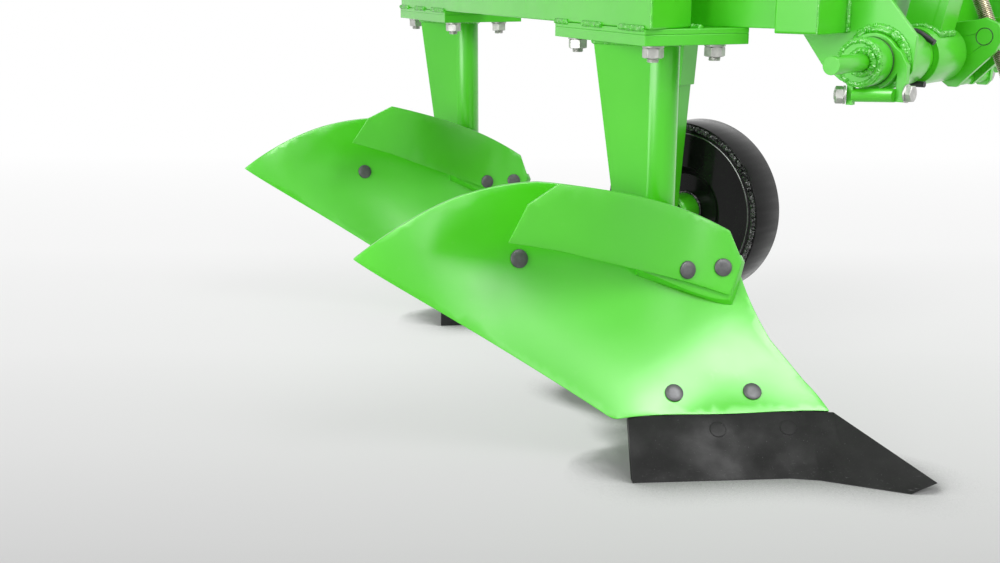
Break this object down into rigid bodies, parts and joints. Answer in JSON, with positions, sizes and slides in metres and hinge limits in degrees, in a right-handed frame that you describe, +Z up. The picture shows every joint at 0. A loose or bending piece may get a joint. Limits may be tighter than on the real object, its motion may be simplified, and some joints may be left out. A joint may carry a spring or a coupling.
{
  "type": "mounted mouldboard plough",
  "caption": "Green mounted plough: black shares, curved mouldboards with deflectors, a diagonal beam, a hitch headstock with a turning cross shaft and a depth wheel.",
  "frame": {"origin": "on the ground under the middle of the plan", "axes": "+X in the direction of travel, +Y to the machine's left, +Z up"},
  "size_m": [1.3038, 1.203, 1.03],
  "materials": {
    "frame_paint": "glossy lime green powder paint over welded steel",
    "wheel_paint": "glossy black paint",
    "share_steel": "dark satin coated steel with rubbed edges",
    "zinc_thread": "yellowish zinc plated thread",
    "zinc": "bright zinc plating",
    "spring_steel": "black round bar"
  },
  "bodies": {
    "frame": {"adjusting_screw": "zinc_thread", "cross_tube": "frame_paint", "front_beam_plate": "frame_paint", "front_board_stay": "frame_paint", "front_deflector": "frame_paint", "front_deflector_spacer": "frame_paint", "front_frog": "frame_paint", "front_landside": "share_steel", "front_leg": "frame_paint", "front_leg_plate": "frame_paint", "front_mouldboard": "frame_paint", "front_share": "share_steel", "left_bearing": "frame_paint", "left_brace": "frame_paint", "left_cheek": "frame_paint", "left_mast_post": "frame_paint", "left_stay": "frame_paint", "main_beam": "frame_paint", "mast_bridge": "frame_paint", "mast_head": "frame_paint", "mast_sleeves": "frame_paint", "rear_beam_plate": "frame_paint", "rear_board_stay": "frame_paint", "rear_deflector": "frame_paint", "rear_deflector_spacer": "frame_paint", "rear_frog": "frame_paint", "rear_landside": "share_steel", "rear_leg": "frame_paint", "rear_leg_plate": "frame_paint", "rear_mouldboard": "frame_paint", "rear_share": "share_steel", "right_bearing": "frame_paint", "right_cheek": "frame_paint", "right_mast_post": "frame_paint", "right_stay": "frame_paint", "screw_bracket": "frame_paint", "screw_crank": "zinc", "side_rail": "frame_paint", "wheel_arm": "frame_paint", "wheel_crank": "zinc", "wheel_sleeve": "frame_paint", "wheel_sleeve_cap": "frame_paint"},
    "cross_shaft": {"cross_shaft": "frame_paint", "hitch_pins": "frame_paint", "keeper_collars": "frame_paint", "keeper_ties": "frame_paint", "retaining_rings": "spring_steel", "lever_ears": "frame_paint", "lever_tie": "frame_paint"},
    "trunnion": {"trunnion": "frame_paint"},
    "wheel_stem": {"wheel_stem": "frame_paint", "wheel_axle": "frame_paint"},
    "depth_wheel": {"depth_wheel": "wheel_paint", "wheel_hub": "frame_paint"}
  },
  "joints": [
    {"name": "shaft_turn", "type": "hinge", "parent": "frame", "child": "cross_shaft", "pos_m": [0.51857, 0.18061, 0.537], "axis": [0, 1, 0], "range_deg": [-12, 12]},
    {"name": "trunnion_turn", "type": "hinge", "parent": "cross_shaft", "child": "trunnion", "pos_m": [0.57357, 0.12161, 0.561], "axis": [0, 1, 0], "range_deg": [-12, 12]},
    {"name": "stem_slide", "type": "slide", "parent": "frame", "child": "wheel_stem", "axis": [0.0802, 0, 0.9968], "range_m": [-0.06, 0.18]},
    {"name": "wheel_turn", "type": "hinge", "parent": "wheel_stem", "child": "depth_wheel", "pos_m": [0.00957, 0.26061, 0.232], "axis": [0, 1, 0], "continuous": true}
  ],
  "couplings": [
    {"joint": "trunnion_turn", "follows": "shaft_turn", "ratio": -1}
  ]
}
